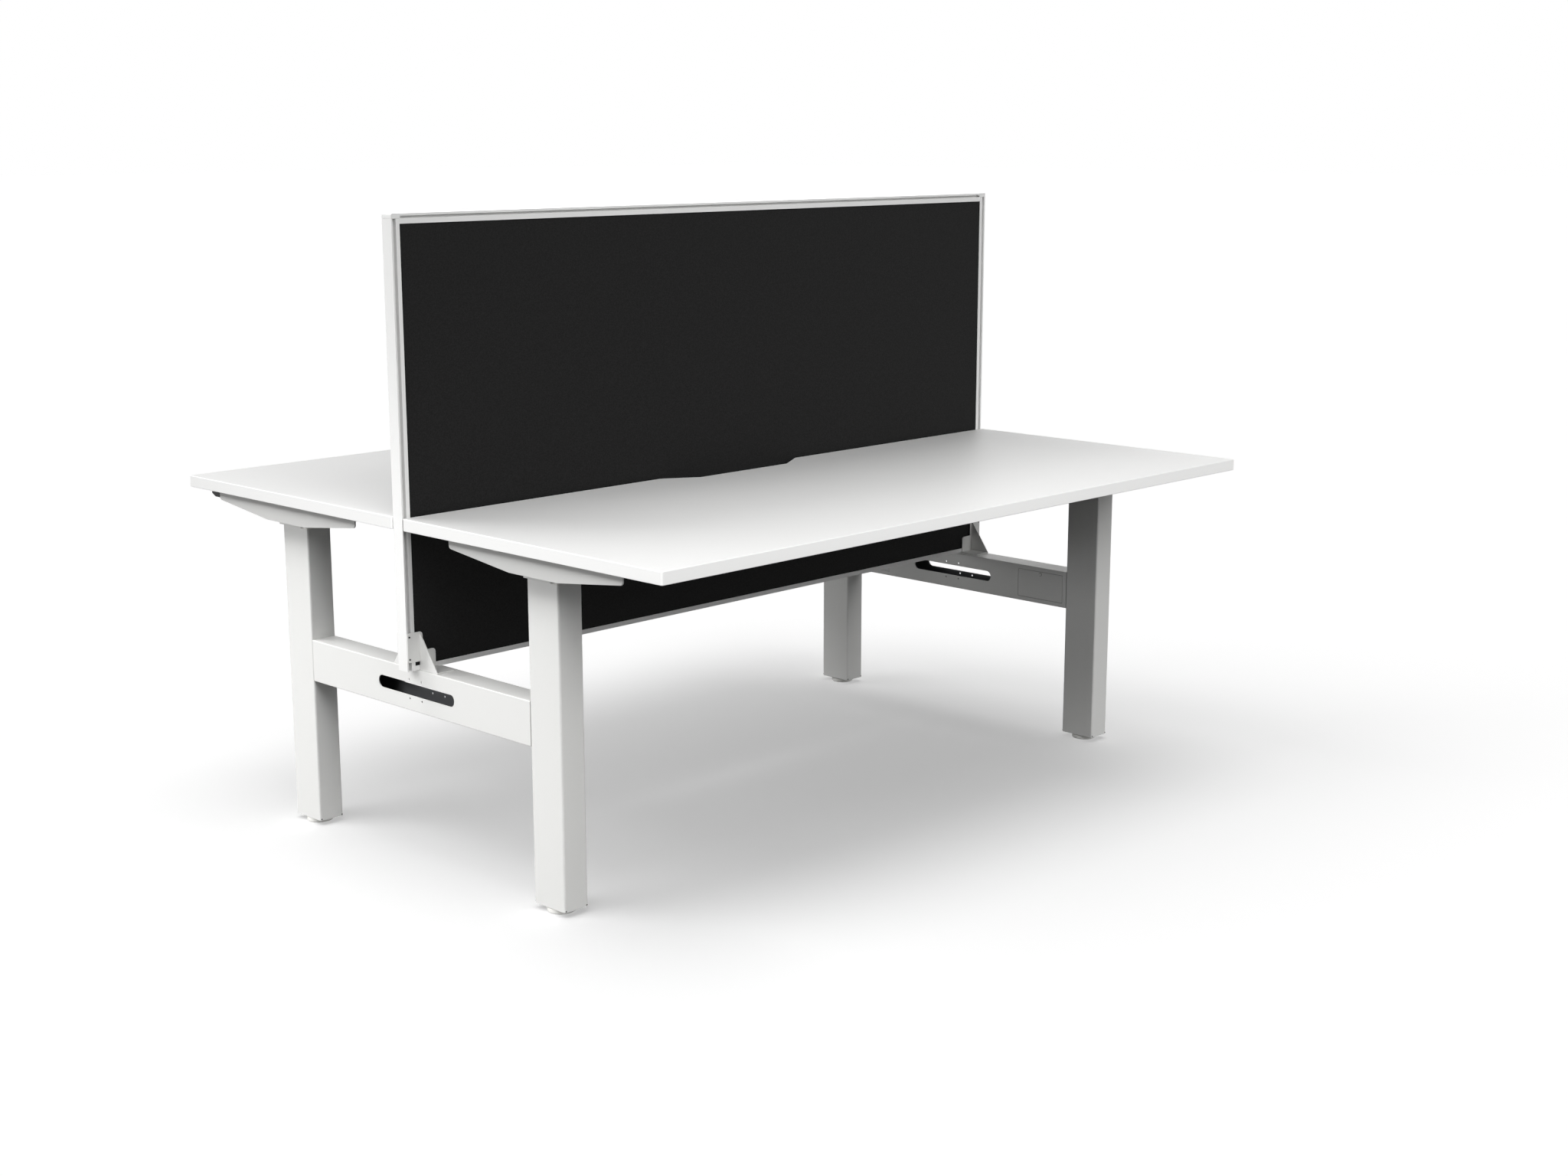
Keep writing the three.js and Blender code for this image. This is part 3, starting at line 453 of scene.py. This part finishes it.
# Powder coat: white, satin, with the slight orange peel that the melted powder leaves
powder_coat, tree, shader, place = new_finish("white powder coat on steel", "e0e0de", 0.42)
grain(tree, shader, place, size=1.6, depth=0.05)
vary_roughness(tree, shader, place, size=35, low=0.38, high=0.47)

# Painted shade: a dull, slightly uneven black for the dots and rings that stand in for shade
painted_shade_black, tree, shader, place = new_finish("black for painted shade", "161616", 0.7, ior=1.52)
grain(tree, shader, place, size=0.5, depth=0.03)
vary_roughness(tree, shader, place, size=4, low=0.62, high=0.78)

# Screw heads: a chamfered disc with a socket, stood on each point along the point's own axis.
heads, given = new_tree("screw heads on points", (
    ("Points", "Geometry", "INPUT"),
    ("Head Radius", "Float", "INPUT"),
    ("Head Height", "Float", "INPUT"),
    ("Socket Radius", "Float", "INPUT"),
    ("Socket Sides", "Int", "INPUT"),
    ("Socket Shape", "Vector", "INPUT"),
    ("Material", "Material", "INPUT"),
    ("Heads", "Geometry", "OUTPUT"),
))
crown = add_node(heads, "ShaderNodeMath", {0: given["Head Radius"], 1: 0.84}, operation="MULTIPLY")
disc = add_node(heads, "GeometryNodeMeshCone", {
    "Vertices": 28,
    "Radius Top": crown.outputs[0],
    "Radius Bottom": given["Head Radius"],
    "Depth": given["Head Height"],
})
drill = add_node(heads, "GeometryNodeMeshCylinder", {
    "Vertices": given["Socket Sides"],
    "Radius": given["Socket Radius"],
    "Depth": given["Head Height"],
})
above = add_node(heads, "ShaderNodeCombineXYZ", {"Z": given["Head Height"]})
drill_at = add_node(heads, "GeometryNodeTransform", {
    "Geometry": drill.outputs["Mesh"],
    "Translation": above.outputs[0],
    "Scale": given["Socket Shape"],
})
head = add_node(heads, "GeometryNodeMeshBoolean", operation="DIFFERENCE")
heads.links.new(disc.outputs["Mesh"], head.inputs["Mesh 1"])
heads.links.new(drill_at.outputs[0], head.inputs["Mesh 2"])
axis = add_node(heads, "GeometryNodeInputNamedAttribute", {"Name": "axis"}, data_type="FLOAT_VECTOR")
turn = add_node(heads, "FunctionNodeAlignRotationToVector", {"Vector": axis.outputs[0]}, axis="Z")
stood = add_node(heads, "GeometryNodeInstanceOnPoints", {
    "Points": given["Points"],
    "Instance": head.outputs[0],
    "Rotation": turn.outputs[0],
})
whole = add_node(heads, "GeometryNodeRealizeInstances", {"Geometry": stood.outputs[0]})
coated = add_node(heads, "GeometryNodeSetMaterial", {"Geometry": whole.outputs[0], "Material": given["Material"]})
add_node(heads, "NodeGroupOutput", {"Heads": coated.outputs[0]})


def fasten(piece, body, finish, spots, radius, height, socket, sides=6, shape=(1, 1, 1)):
    """Sets screw heads on spots, each a (point, axis), as one piece that rides on a body."""
    mesh = bpy.data.meshes.new(piece)
    mesh.from_pydata([point for point, axis in spots], [], [])
    axes = mesh.attributes.new("axis", "FLOAT_VECTOR", "POINT")
    for index, (point, axis) in enumerate(spots):
        axes.data[index].vector = axis
    obj = bpy.data.objects.new(piece, mesh)
    bpy.context.scene.collection.objects.link(obj)
    work_in(obj, heads, {
        "Head Radius": radius * MM,
        "Head Height": height * MM,
        "Socket Radius": socket * MM,
        "Socket Sides": sides,
        "Socket Shape": shape,
        "Material": finish,
    })
    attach(obj, body)
    return obj


spots = []
for where in PLACES:
    node = f"outer_leg_{where}"
    light_leg(dress(cad_shape(node), node, f"leg_tube_{where}", LEG_EDGE, powder_coat), where)
    low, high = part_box(node)
    for x in (low.x + SHADE_DOT_IN * MM, high.x - SHADE_DOT_IN * MM):
        for y, facing in ((low.y, -1), (high.y, 1)):
            spots.append((Vector((x, y, low.z + SHADE_DOT_UP * MM)), Vector((0, facing, 0))))
# Painted shade: black dimpled dots near the leg's foot stand in for the shade of small holes.
fasten("leg_shade_dots", "frame", painted_shade_black, spots, SHADE_DOT_RADIUS, SHADE_DOT_HEIGHT, SHADE_DOT_DIMPLE, sides=12)


# Nut posts: a steel tube that stands on the base plate inside the leg and carries the lift nut.
# Zinc plated, and out of sight once the legs are together.
for where in PLACES:
    node = f"nut_post_{where}"
    dress(cad_shape(node), node, f"nut_tube_{where}", 0.3, zinc_plate)


# Guide collars: thin sleeves moulded in polyamide that keep the inner tube running true.
# Their flange lies on the outer tube's mouth and is as white as the tube.
for where in PLACES:
    node = f"guide_collar_{where}"
    light_leg(dress(cad_shape(node), node, f"collar_{where}", 0.3, white_polyamide), where)


# Lead screws: rolled steel bar with a trapezoidal thread of 8 mm lead, lightly oiled.
# The plain journal at the top sits in the gearbox.
SCREW_CREST = 7
SCREW_THREAD = 1.2
SCREW_LEAD = 8
JOURNAL_RADIUS = 6
JOURNAL_LENGTH = 25
SCREW_SIDES = 32

# Rolled steel: bright grey, with a fine grain and a gloss that drifts a little
rolled_steel, tree, shader, place = new_finish("rolled steel, oiled", "b9babc", 0.3, metallic=1)
grain(tree, shader, place, size=0.8, depth=0.01)
vary_roughness(tree, shader, place, size=12, low=0.22, high=0.4)

for where in PLACES:
    node = f"lead_screw_{where}"
    low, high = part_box(node)
    centre = (low + high) / 2
    bottom = low.z / MM
    top = high.z / MM
    core = SCREW_CREST - SCREW_THREAD
    profile = [
        (0, bottom),
        (core - 1, bottom),
        (core, bottom + 1),
        (core, top - JOURNAL_LENGTH),
        (JOURNAL_RADIUS, top - JOURNAL_LENGTH),
        (JOURNAL_RADIUS, top - 1),
        (JOURNAL_RADIUS - 1, top),
        (0, top),
    ]
    screw = as_object(turned(profile, centre, SCREW_SIDES), f"screw_bar_{where}", rolled_steel)
    work_in(screw, thread, {
        "Crest Radius": SCREW_CREST * MM,
        "Depth": SCREW_THREAD * MM,
        "Lead": SCREW_LEAD * MM,
        "Turns": (top - bottom - JOURNAL_LENGTH) / SCREW_LEAD - 1,
        "Foot": (centre.x, centre.y, low.z + SCREW_LEAD / 2 * MM),
        "Material": rolled_steel,
    })
    settle(screw, node)


# Inner legs: the rising steel tube with a stepped head plate welded on top, powder coated.
# The arm sits on the plate's middle, so a thin dark gap shows above the plate's rim.
for where in PLACES:
    node = f"inner_leg_{where}"
    light_leg(dress(cad_shape(node), node, f"rising_tube_{where}", LEG_EDGE, powder_coat), where)


# End beams: rectangular steel tube between the two legs of each end, welded to them and coated with
# them. The slot and the four holes go through both walls, and the inside walls are painted dark grey as shade.
BEAM_WALL = 2

# Painted shade: the tube's inside walls in a dull, blotchy dark grey, for the shade in the hollow
tube_inside_shade, tree, shader, place = new_finish("dark grey inside the tube, painted shade", "77787a", 0.6, metallic=0.2)
grain(tree, shader, place, size=1.5, depth=0.05)
vary_roughness(tree, shader, place, size=18, low=0.5, high=0.7)

for end in ("left", "right"):
    node = f"end_beam_{end}"
    low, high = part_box(node)
    inside = (high.x - low.x) / 2 - (BEAM_WALL - 0.01) * MM
    middle = (low.x + high.x) / 2
    shape = cad_shape(node)
    # Painted shade: the faces inside the tube, away from its outer walls, take the dark grey.
    for face in shape.faces:
        hidden = all(abs(vert.co.x - middle) < inside for vert in face.verts)
        outer = face.normal.z * (face.calc_center_median().z - (low.z + high.z) / 2) > 0 or abs(face.normal.y) > 0.9
        face.material_index = 1 if hidden and not outer else 0
    dress(shape, node, f"beam_{end}", 0.5, powder_coat, tube_inside_shade)


# Access covers: steel plates that lie flush in the beams' inner walls, coated like the beams.
# A slotted quarter-turn lock holds each one at its upper edge, on a black disc that is painted shade of the gap round
# it.
LOCK_RADIUS = 4.2
LOCK_HEIGHT = 0.9
LOCK_DROP = 6  # from the cover's upper edge
LOCK_SLOT = 3.2
LOCK_SHADE_RADIUS = 4.6
LOCK_SHADE_HEIGHT = 0.5
for where in PLACES:
    node = f"access_cover_{where}"
    dress(cad_shape(node), node, f"cover_{where}", 0.3, powder_coat)
    low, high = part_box(node)
    side = 1 if high.x > 0 else -1
    wall = (high.x if side < 0 else low.x) + side * 0.8 * MM
    spot = Vector((wall, (low.y + high.y) / 2, high.z - LOCK_DROP * MM))
    inward = Vector((-side, 0, 0))
    # Painted shade: the black disc under each lock draws the dark ring round it.
    fasten(f"lock_shade_ring_{where}", body_of[node], painted_shade_black, [(spot, inward)],
           LOCK_SHADE_RADIUS, LOCK_SHADE_HEIGHT, LOCK_SLOT, sides=24)
    fasten(f"cover_lock_{where}", body_of[node], powder_coat, [(spot, inward)],
           LOCK_RADIUS, LOCK_HEIGHT, LOCK_SLOT, sides=4, shape=(1, 0.22, 1))


# Support arms: tapered side plates with lips, folded from 3 mm sheet and powder coated.
# The lips are screwed to the desktop from below, three screws to a lip.
LIP_SCREW_IN = 8  # from the arm's side to the screws
LIP_SCREW_RADIUS = 4
LIP_SCREW_HEIGHT = 2.2
LIP_SCREW_SOCKET = 1.8
LIP_SCREW_ENDS = 40  # from the arm's ends to the outer screws
SHEET = 3
DOWN = Vector((0, 0, -1))
for half in ("near", "far"):
    spots = []
    for end in ("left", "right"):
        node = f"support_arm_{half}_{end}"
        light_apart(dress(cad_shape(node), node, f"arm_{half}_{end}", 0.6, powder_coat), arms_only, frame_only, side_only)
        low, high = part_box(node)
        inset = LIP_SCREW_ENDS * MM
        for x in (low.x + LIP_SCREW_IN * MM, high.x - LIP_SCREW_IN * MM):
            for y in (low.y + inset, (low.y + high.y) / 2, high.y - inset):
                spots.append((Vector((x, y, high.z - SHEET * MM)), DOWN))
    fasten(f"desktop_screws_{half}", f"{half}_desk", zinc_plate, spots,
           LIP_SCREW_RADIUS, LIP_SCREW_HEIGHT, LIP_SCREW_SOCKET)


# Motors: a die-cast gearbox over each lead screw with the motor can beside it, inside the arm.
# Zinc plated, bolted down to the arm's floor.
for where in PLACES:
    node = f"motor_gearbox_{where}"
    dress(cad_shape(node), node, f"drive_{where}", 0.8, zinc_plate)


# Crossbars: folded steel channels between the two arms of a desk, open against the desktop.
# Powder coated, and hidden from a standing person by the desktop.
for half in ("near", "far"):
    node = f"crossbar_{half}"
    dress(cad_shape(node), node, f"channel_{half}", 0.5, powder_coat)


# Desktops: 25 mm particle board faced with white melamine, with a 2 mm ABS edging glued all round.
# The edging is rounded over by 1 mm, and meets the melamine in a hairline seam.
EDGING = 2
EDGE_ROUND = 1
SEAM_WIDTH = 0.25
SEAM_DEPTH = 0.15

# Melamine: bright white paper under resin, pressed against a plate with a fine pearl texture
melamine, tree, shader, place = new_finish("white melamine board", "ebebea", 0.45)
pearl = grain(tree, shader, place, size=0.9, depth=0.03)
vary_roughness(tree, shader, place, size=60, low=0.42, high=0.5)

# ABS edging: the same white, a little smoother and brighter, with a fine grain
abs_edging, tree, shader, place = new_finish("white ABS edging", "ededec", 0.4, ior=1.53)
grain(tree, shader, place, size=1.2, depth=0.02)
vary_roughness(tree, shader, place, size=30, low=0.36, high=0.44)

for half in ("near", "far"):
    node = f"desktop_{half}"
    shape = cad_shape(node)
    faces = sorted(shape.faces, key=lambda face: face.calc_area())[-2:]
    for face in shape.faces:
        face.material_index = 0 if face in faces else 1
    for face in faces:
        for width, depth in ((EDGING - EDGE_ROUND, 0), (SEAM_WIDTH, -SEAM_DEPTH), (SEAM_WIDTH, SEAM_DEPTH)):
            ring = bmesh.ops.inset_region(
                shape, faces=[face], thickness=width * MM, depth=depth * MM, use_even_offset=True,
            )["faces"]
            for part in ring:
                part.material_index = 1
        face.material_index = 0
    light_apart(dress(shape, node, f"top_{half}", 0.35, melamine, abs_edging), tops_only, frame_only, side_only)


# Control boxes: black ABS housings screwed under the desktops by two ears, with the motor sockets and
# the mains inlet at one end. Cooling ribs run across the underside.
RIB_PITCH = 9
RIB_COUNT = 17
RIB_SIZE = (2.4, 62, 1.2)

# Moulded ABS: black with a fine matt spark texture
black_abs, tree, shader, place = new_finish("moulded ABS, black", "0d0d0e", 0.6, ior=1.53)
shader.inputs["Specular IOR Level"].default_value = 0.25
grain(tree, shader, place, size=0.8, depth=0.05)
vary_roughness(tree, shader, place, size=20, low=0.55, high=0.66)

ribs, given = new_tree("ribs in a row", (
    ("Points", "Geometry", "INPUT"),
    ("Rib Size", "Vector", "INPUT"),
    ("Rib Count", "Int", "INPUT"),
    ("First Rib", "Vector", "INPUT"),
    ("Pitch", "Vector", "INPUT"),
    ("Material", "Material", "INPUT"),
    ("Ribs", "Geometry", "OUTPUT"),
))
row = add_node(ribs, "GeometryNodeMeshLine", {
    "Count": given["Rib Count"],
    "Start Location": given["First Rib"],
    "Offset": given["Pitch"],
})
rib = add_node(ribs, "GeometryNodeMeshCube", {"Size": given["Rib Size"]})
stood = add_node(ribs, "GeometryNodeInstanceOnPoints", {"Points": row.outputs[0], "Instance": rib.outputs[0]})
whole = add_node(ribs, "GeometryNodeRealizeInstances", {"Geometry": stood.outputs[0]})
coated = add_node(ribs, "GeometryNodeSetMaterial", {"Geometry": whole.outputs[0], "Material": given["Material"]})
add_node(ribs, "NodeGroupOutput", {"Ribs": coated.outputs[0]})

for half in ("near", "far"):
    node = f"control_box_{half}"
    dress(cad_shape(node), node, f"control_housing_{half}", 0.8, black_abs)
    low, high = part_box(node)
    centre = (low + high) / 2
    ribbing = as_object(bmesh.new(), f"control_ribs_{half}")
    work_in(ribbing, ribs, {
        "Rib Size": [size * MM for size in RIB_SIZE],
        "Rib Count": RIB_COUNT,
        "First Rib": (centre.x - (RIB_COUNT - 1) / 2 * RIB_PITCH * MM, centre.y, low.z),
        "Pitch": (RIB_PITCH * MM, 0, 0),
        "Material": black_abs,
    })
    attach(ribbing, f"{half}_desk")
    ear = (high.x - low.x) / 2 - 7 * MM
    spots = [(Vector((centre.x + side * ear, centre.y, high.z - 3 * MM)), DOWN) for side in (-1, 1)]
    fasten(f"control_screws_{half}", f"{half}_desk", zinc_plate, spots, 4, 2.2, 1.8)


# Handsets: black ABS wedges under the front edge, at the user's right, with a down and an up button.
# The buttons are grey ABS, each with a raised arrow.
ARROW_WIDTH = 7
ARROW_HEIGHT = 5
ARROW_PROUD = 0.3

# Grey ABS: satin, moulded smooth so that it wipes clean
grey_abs, tree, shader, place = new_finish("moulded ABS, grey", "c9c9c7", 0.45, ior=1.53)
grain(tree, shader, place, size=0.6, depth=0.02)
vary_roughness(tree, shader, place, size=8, low=0.4, high=0.5)

for half, facing in (("near", -1), ("far", 1)):
    node = f"handset_{half}"
    dress(cad_shape(node), node, f"handset_shell_{half}", 0.5, black_abs)
    press = next(joint for joint in frame["joints"] if joint["name"] == f"{half}_up_press")
    outward = -Vector(press["axis"])
    uphill = Vector((0, facing * -outward.z, facing * outward.y))
    for word, points in (("down", -1), ("up", 1)):
        node = f"{word}_button_{half}"
        dress(cad_shape(node), node, f"{word}_key_{half}", 0.4, grey_abs)
        corners = [vertex.co for vertex in frame["nodes"][node].data.vertices]
        reach = max(corner.dot(outward) for corner in corners)
        face_corners = [corner for corner in corners if corner.dot(outward) > reach - 0.01 * MM]
        middle = sum(face_corners, Vector()) / len(face_corners)
        across = outward.cross(uphill)
        shape = bmesh.new()
        flat = [
            (-ARROW_WIDTH / 2, -points * ARROW_HEIGHT / 2),
            (ARROW_WIDTH / 2, -points * ARROW_HEIGHT / 2),
            (0, points * ARROW_HEIGHT / 2),
        ]
        base = [shape.verts.new(middle + across * (x * MM) + uphill * (y * MM)) for x, y in flat]
        triangle = shape.faces.new(base)
        raised = bmesh.ops.extrude_face_region(shape, geom=[triangle])["geom"]
        lifted = [part for part in raised if isinstance(part, bmesh.types.BMVert)]
        bmesh.ops.translate(shape, verts=lifted, vec=outward * (ARROW_PROUD * MM))
        bmesh.ops.recalc_face_normals(shape, faces=shape.faces)
        arrow = as_object(shape, f"{word}_arrow_{half}", black_abs)
        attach(arrow, body_of[node])


# Screen brackets: a back plate, a gusset and a base in 2.2 mm steel sheet, welded and powder coated.
# Each stands on a beam, and two black socket screws hold its tall tab to the screen's post.
BRACKET_SHEET = 2.2
TAB_SCREW_IN = 5  # from the screen's end
TAB_SCREW_HEIGHTS = (437.5, 483)
TAB_SCREW_RADIUS = 2
TAB_SCREW_HEAD = 1
TAB_SCREW_SOCKET = 1.1

# Black oxide: nearly black steel with a dull gloss
black_oxide, tree, shader, place = new_finish("blackened steel", "2a2a2c", 0.45, metallic=0.6)
grain(tree, shader, place, size=0.6, depth=0.01)
vary_roughness(tree, shader, place, size=6, low=0.38, high=0.52)

spots = []
for where in PLACES:
    node = f"screen_bracket_{where}"
    dress(cad_shape(node), node, f"bracket_{where}", 0.5, powder_coat)
    low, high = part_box(node)
    facing = -1 if high.y < 0 else 1
    sheet_face = facing * (min(abs(low.y), abs(high.y)) + BRACKET_SHEET * MM)
    post_low, post_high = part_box("screen_post_left" if high.x < 0 else "screen_post_right")
    x = post_low.x + TAB_SCREW_IN * MM if high.x < 0 else post_high.x - TAB_SCREW_IN * MM
    for z in TAB_SCREW_HEIGHTS:
        spots.append((Vector((x, sheet_face, z * MM)), Vector((0, facing, 0))))
fasten("bracket_screws", "frame", black_oxide, spots,
       TAB_SCREW_RADIUS, TAB_SCREW_HEAD, TAB_SCREW_SOCKET)


# Screen frame: aluminium extrusions with a groove along each face, powder coated in white.
# The top rail carries a plain block over each post, with its outer corner rounded.
BLOCK_ROUND = 3

# Coated aluminium: the same white, smoother than on the steel because the extrusion is
coated_aluminium, tree, shader, place = new_finish("white powder coat on aluminium", "e8e8e7", 0.38)
grain(tree, shader, place, size=1.3, depth=0.03)
vary_roughness(tree, shader, place, size=30, low=0.34, high=0.42)

for end in ("left", "right"):
    node = f"screen_post_{end}"
    dress(cad_shape(node), node, f"post_{end}", 0.3, coated_aluminium)
dress(cad_shape("screen_bottom_rail"), "screen_bottom_rail", "sill", 0.3, coated_aluminium)

shape = cad_shape("screen_top_rail")
low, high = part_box("screen_top_rail")
block_edges = [
    edge for edge in shape.edges
    if all(high.x - abs(vert.co.x) < 0.01 * MM and high.z - vert.co.z < 0.01 * MM for vert in edge.verts)
]
bmesh.ops.bevel(shape, geom=block_edges, offset=BLOCK_ROUND * MM, segments=5, profile=0.5, affect="EDGES")
dress(shape, "screen_top_rail", "top_rail", 0.3, coated_aluminium)


# Screen panel: a board covered in black woven polyester, held by its edges in the frame's channel.
# The cloth is stretched flat, so only its weave and its flecks show.
THREAD = 2.2  # millimetres; really about 1.1, drawn twice as coarse so that it shows
FLECK = 3
WANDER = 25  # length over which a thread strays from its line, and by how much
STRAY = 4
YARN_DARK = "090909"
YARN_LIGHT = "181818"

# Woven polyester: matt black with a soft sheen, a plain weave and slightly lighter flecks in the yarn
weave, tree, shader, place = new_finish("woven polyester, black", "101010", 0.9)
shader.inputs["Specular IOR Level"].default_value = 0.2
shader.inputs["Sheen Weight"].default_value = 0.03
shader.inputs["Sheen Roughness"].default_value = 0.5
wander = add_node(tree, "ShaderNodeTexNoise", {"Vector": place, "Scale": 1 / (WANDER * MM), "Detail": 3})
centred = add_node(
    tree, "ShaderNodeVectorMath", {0: wander.outputs["Color"], 1: (0.5, 0.5, 0.5)}, operation="SUBTRACT"
)
drift = add_node(tree, "ShaderNodeVectorMath", {0: centred.outputs[0], "Scale": STRAY * MM}, operation="SCALE")
cloth = add_node(tree, "ShaderNodeVectorMath", {0: place, 1: drift.outputs[0]}, operation="ADD")
waves = [
    add_node(
        tree, "ShaderNodeTexWave",
        {"Vector": cloth.outputs[0], "Scale": math.pi / (10 * THREAD * MM)},
        bands_direction=direction,
    ).outputs["Fac"]
    for direction in ("X", "Z")
]
crossing = add_node(tree, "ShaderNodeMath", {0: waves[0], 1: waves[1]}, operation="ADD")
fleck = add_node(tree, "ShaderNodeTexNoise", {"Vector": place, "Scale": 1 / (FLECK * MM), "Detail": 3})
mottle = add_node(
    tree, "ShaderNodeMath", {0: crossing.outputs[0], 1: 0.09, 2: fleck.outputs["Fac"]}, operation="MULTIPLY_ADD"
)
yarn = add_node(tree, "ShaderNodeMapRange", {"Value": mottle.outputs[0], "From Min": 0.36, "From Max": 0.82})
colours = add_node(
    tree, "ShaderNodeMix", {0: yarn.outputs[0], 6: linear(YARN_DARK), 7: linear(YARN_LIGHT)}, data_type="RGBA"
)
tree.links.new(colours.outputs[2], shader.inputs["Base Color"])
bump = add_node(tree, "ShaderNodeBump", {"Height": mottle.outputs[0], "Distance": 0.4 * MM, "Strength": 0.6})
tree.links.new(bump.outputs[0], shader.inputs["Normal"])

dress(cad_shape("screen_panel"), "screen_panel", "fabric_panel", 2, weave)
